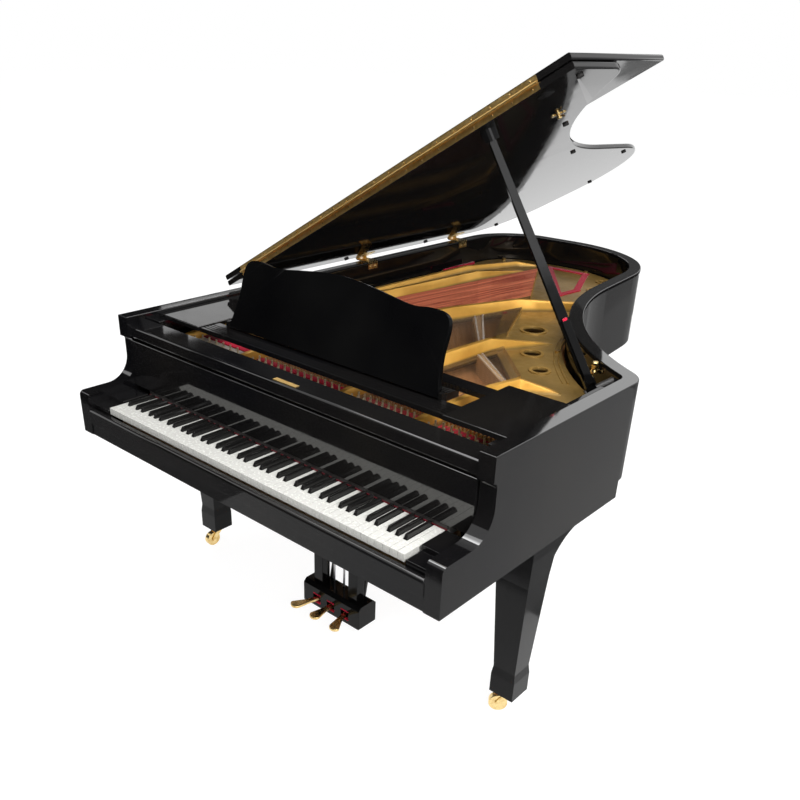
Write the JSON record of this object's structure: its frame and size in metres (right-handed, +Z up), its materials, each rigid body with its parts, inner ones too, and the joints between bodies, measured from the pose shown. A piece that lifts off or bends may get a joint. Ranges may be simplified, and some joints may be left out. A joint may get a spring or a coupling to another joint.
{
  "type": "grand piano",
  "caption": "Black lacquered grand piano with a propped lid, folded front flap, keyboard, music desk, pedal lyre and three legs on casters.",
  "frame": {"origin": "on the floor, at the middle of the footprint box of the open piano", "axes": "+X to the treble side, +Y from the player to the tail, +Z up"},
  "size_m": [1.5052, 2.3588, 1.7423],
  "materials": {
    "black_lacquer": "mirror-polished black lacquer",
    "satin_black_wood": "satin black stain",
    "gold_iron": "gold-bronze paint on cast iron",
    "spruce": "satin varnish",
    "beech": "bare planed wood",
    "brass": "polished",
    "steel": "bright drawn wire and nickel",
    "copper_winding": "copper-wound wire",
    "red_felt": "woven felt",
    "black_rubber": "matte",
    "white_key": "ivory-white key tops on wood",
    "black_key": "matte black key tops on wood",
    "hammer_felt": "pale felt on wood"
  },
  "bodies": {
    "case": {"outer_rim": "black_lacquer", "inner_rim": "beech", "keybed": "black_lacquer", "key_slip": "black_lacquer", "key_blocks": "black_lacquer", "stretcher": "black_lacquer", "lock_strike": "brass", "back_beams": "beech", "soundboard": "spruce", "string_bridges": "beech", "pinblock": "beech", "iron_plate": "gold_iron", "plate_fittings": "brass", "tuning_pins": "steel", "bass_strings": "copper_winding", "treble_strings": "steel", "string_felts": "red_felt", "leg_bass": "black_lacquer", "leg_treble": "black_lacquer", "leg_tail": "black_lacquer", "pedal_lyre": "black_lacquer", "lyre_braces": "steel", "prop_bracket": "brass", "lid_hinges_case": "brass", "side_rails": "black_lacquer"},
    "lid": {"lid_main": "black_lacquer", "lid_hinges_lid": "brass", "flap_hinge_lid": "brass", "lid_bumpers": "black_rubber", "prop_cup": "black_lacquer"},
    "front_flap": {"lid_flap": "black_lacquer", "flap_hinge_flap": "brass"},
    "prop": {"prop_stick": "black_lacquer"},
    "short_prop": {"prop_short_stick": "black_lacquer"},
    "key_cover": {"fallboard": "black_lacquer"},
    "music_slide": {"music_frame": "black_lacquer"},
    "desk": {"music_desk": "black_lacquer"},
    "desk_prop": {"desk_strut": "satin_black_wood"},
    "damper_set": {"dampers": "satin_black_wood"},
    "key_action": {"key_frame": "beech", "hammers": "hammer_felt"},
    "white_keys_c_f_set": {"white_keys_c_f": "white_key"},
    "white_keys_d_g_set": {"white_keys_d_g": "white_key"},
    "white_keys_e_a_set": {"white_keys_e_a": "white_key"},
    "white_keys_b_set": {"white_keys_b": "white_key"},
    "black_keys_c_f_set": {"black_keys_c_f": "black_key"},
    "black_keys_d_g_set": {"black_keys_d_g": "black_key"},
    "black_keys_a_set": {"black_keys_a": "black_key"},
    "pedal_soft_lever": {"pedal_soft": "brass"},
    "pedal_rod_soft_push": {"pedal_rod_soft": "steel"},
    "pedal_sostenuto_lever": {"pedal_sostenuto": "brass"},
    "pedal_rod_sostenuto_push": {"pedal_rod_sostenuto": "steel"},
    "pedal_sustain_lever": {"pedal_sustain": "brass"},
    "pedal_rod_sustain_push": {"pedal_rod_sustain": "steel"},
    "fork_bass": {"caster_fork_bass": "brass"},
    "wheel_bass": {"caster_wheel_bass": "brass"},
    "fork_treble": {"caster_fork_treble": "brass"},
    "wheel_treble": {"caster_wheel_treble": "brass"},
    "fork_tail": {"caster_fork_tail": "brass"},
    "wheel_tail": {"caster_wheel_tail": "brass"}
  },
  "joints": [
    {"name": "lid_swing", "type": "hinge", "parent": "case", "child": "lid", "pos_m": [-0.74338, 0.34757, 0.961], "axis": [0, -1, 0], "range_deg": [0, 45]},
    {"name": "flap_fold", "type": "hinge", "parent": "lid", "child": "front_flap", "pos_m": [-0.09716, -0.55243, 1.35372], "axis": [0.866, 0, 0.5], "range_deg": [0, 180]},
    {"name": "prop_fold", "type": "hinge", "parent": "case", "child": "prop", "pos_m": [0.62262, -0.34643, 0.893], "axis": [-0.585, -0.684, -0.4359], "range_deg": [0, 77]},
    {"name": "short_prop_swing", "type": "hinge", "parent": "prop", "child": "short_prop", "pos_m": [0.62306, -0.36608, 0.92323], "axis": [0.585, 0.684, 0.4359], "range_deg": [0, 60]},
    {"name": "key_cover_swing", "type": "hinge", "parent": "case", "child": "key_cover", "pos_m": [0.01262, -0.99643, 0.735], "axis": [1, 0, 0], "range_deg": [0, 90]},
    {"name": "music_frame_slide", "type": "slide", "parent": "case", "child": "music_slide", "axis": [0, 1, 0], "range_m": [-0.025, 0.09]},
    {"name": "desk_tilt", "type": "hinge", "parent": "music_slide", "child": "desk", "pos_m": [0.01262, -0.80432, 0.95107], "axis": [1, 0, 0], "range_deg": [-71, 0]},
    {"name": "desk_strut_fold", "type": "hinge", "parent": "desk", "child": "desk_prop", "pos_m": [0.01262, -0.72632, 1.14117], "axis": [1, 0, 0], "range_deg": [0, 142]},
    {"name": "damper_lift", "type": "slide", "parent": "case", "child": "damper_set", "axis": [0, 0, 1], "range_m": [0, 0.005]},
    {"name": "keyboard_shift", "type": "slide", "parent": "case", "child": "key_action", "axis": [1, 0, 0], "range_m": [0, 0.0025]},
    {"name": "white_keys_c_f_dip", "type": "hinge", "parent": "key_action", "child": "white_keys_c_f_set", "pos_m": [0.01262, -0.93743, 0.688], "axis": [1, 0, 0], "range_deg": [0, 2.6], "stiffness_Nm_per_rad": 20, "springref_deg": -5.16},
    {"name": "white_keys_d_g_dip", "type": "hinge", "parent": "key_action", "child": "white_keys_d_g_set", "pos_m": [0.01262, -0.93743, 0.688], "axis": [1, 0, 0], "range_deg": [0, 2.6], "stiffness_Nm_per_rad": 20, "springref_deg": -5.16},
    {"name": "white_keys_e_a_dip", "type": "hinge", "parent": "key_action", "child": "white_keys_e_a_set", "pos_m": [0.01262, -0.93743, 0.688], "axis": [1, 0, 0], "range_deg": [0, 2.6], "stiffness_Nm_per_rad": 20, "springref_deg": -5.16},
    {"name": "white_keys_b_dip", "type": "hinge", "parent": "key_action", "child": "white_keys_b_set", "pos_m": [0.01262, -0.93743, 0.688], "axis": [1, 0, 0], "range_deg": [0, 2.6], "stiffness_Nm_per_rad": 20, "springref_deg": -5.16},
    {"name": "black_keys_c_f_dip", "type": "hinge", "parent": "key_action", "child": "black_keys_c_f_set", "pos_m": [0.01262, -0.93743, 0.688], "axis": [1, 0, 0], "range_deg": [0, 2.6], "stiffness_Nm_per_rad": 20, "springref_deg": -5.16},
    {"name": "black_keys_d_g_dip", "type": "hinge", "parent": "key_action", "child": "black_keys_d_g_set", "pos_m": [0.01262, -0.93743, 0.688], "axis": [1, 0, 0], "range_deg": [0, 2.6], "stiffness_Nm_per_rad": 20, "springref_deg": -5.16},
    {"name": "black_keys_a_dip", "type": "hinge", "parent": "key_action", "child": "black_keys_a_set", "pos_m": [0.01262, -0.93743, 0.688], "axis": [1, 0, 0], "range_deg": [0, 2.6], "stiffness_Nm_per_rad": 20, "springref_deg": -5.16},
    {"name": "pedal_soft_press", "type": "hinge", "parent": "case", "child": "pedal_soft_lever", "pos_m": [0.01262, -0.74743, 0.063], "axis": [1, 0, 0], "range_deg": [0, 6], "stiffness_Nm_per_rad": 60, "springref_deg": -6.88},
    {"name": "pedal_rod_soft_lift", "type": "slide", "parent": "case", "child": "pedal_rod_soft_push", "axis": [0, 0, 1], "range_m": [0, 0.0031]},
    {"name": "pedal_sostenuto_press", "type": "hinge", "parent": "case", "child": "pedal_sostenuto_lever", "pos_m": [0.01262, -0.74743, 0.063], "axis": [1, 0, 0], "range_deg": [0, 6], "stiffness_Nm_per_rad": 60, "springref_deg": -6.88},
    {"name": "pedal_rod_sostenuto_lift", "type": "slide", "parent": "case", "child": "pedal_rod_sostenuto_push", "axis": [0, 0, 1], "range_m": [0, 0.0031]},
    {"name": "pedal_sustain_press", "type": "hinge", "parent": "case", "child": "pedal_sustain_lever", "pos_m": [0.01262, -0.74743, 0.063], "axis": [1, 0, 0], "range_deg": [0, 6], "stiffness_Nm_per_rad": 60, "springref_deg": -6.88},
    {"name": "pedal_rod_sustain_lift", "type": "slide", "parent": "case", "child": "pedal_rod_sustain_push", "axis": [0, 0, 1], "range_m": [0, 0.0031]},
    {"name": "swivel_bass", "type": "hinge", "parent": "case", "child": "fork_bass", "pos_m": [-0.66738, -0.72443, 0.07], "axis": [0, 0, 1], "continuous": true},
    {"name": "roll_bass", "type": "hinge", "parent": "fork_bass", "child": "wheel_bass", "pos_m": [-0.66829, -0.75042, 0.028], "axis": [0.9994, -0.0349, 0], "continuous": true},
    {"name": "swivel_treble", "type": "hinge", "parent": "case", "child": "fork_treble", "pos_m": [0.69262, -0.72443, 0.07], "axis": [0, 0, 1], "continuous": true},
    {"name": "roll_treble", "type": "hinge", "parent": "fork_treble", "child": "wheel_treble", "pos_m": [0.67132, -0.73935, 0.028], "axis": [0.5736, -0.8192, 0], "continuous": true},
    {"name": "swivel_tail", "type": "hinge", "parent": "case", "child": "fork_tail", "pos_m": [-0.28738, 0.83757, 0.07], "axis": [0, 0, 1], "continuous": true},
    {"name": "roll_tail", "type": "hinge", "parent": "fork_tail", "child": "wheel_tail", "pos_m": [-0.27438, 0.81505, 0.028], "axis": [0.866, 0.5, 0], "continuous": true}
  ],
  "couplings": [
    {"joint": "desk_strut_fold", "follows": "desk_tilt", "ratio": -2},
    {"joint": "pedal_rod_soft_lift", "follows": "pedal_soft_press", "m_per_rad": 0.029},
    {"joint": "pedal_rod_sostenuto_lift", "follows": "pedal_sostenuto_press", "m_per_rad": 0.029},
    {"joint": "pedal_rod_sustain_lift", "follows": "pedal_sustain_press", "m_per_rad": 0.029},
    {"joint": "damper_lift", "follows": "pedal_sustain_press", "m_per_rad": 0.046792},
    {"joint": "keyboard_shift", "follows": "pedal_soft_press", "m_per_rad": 0.022918}
  ]
}
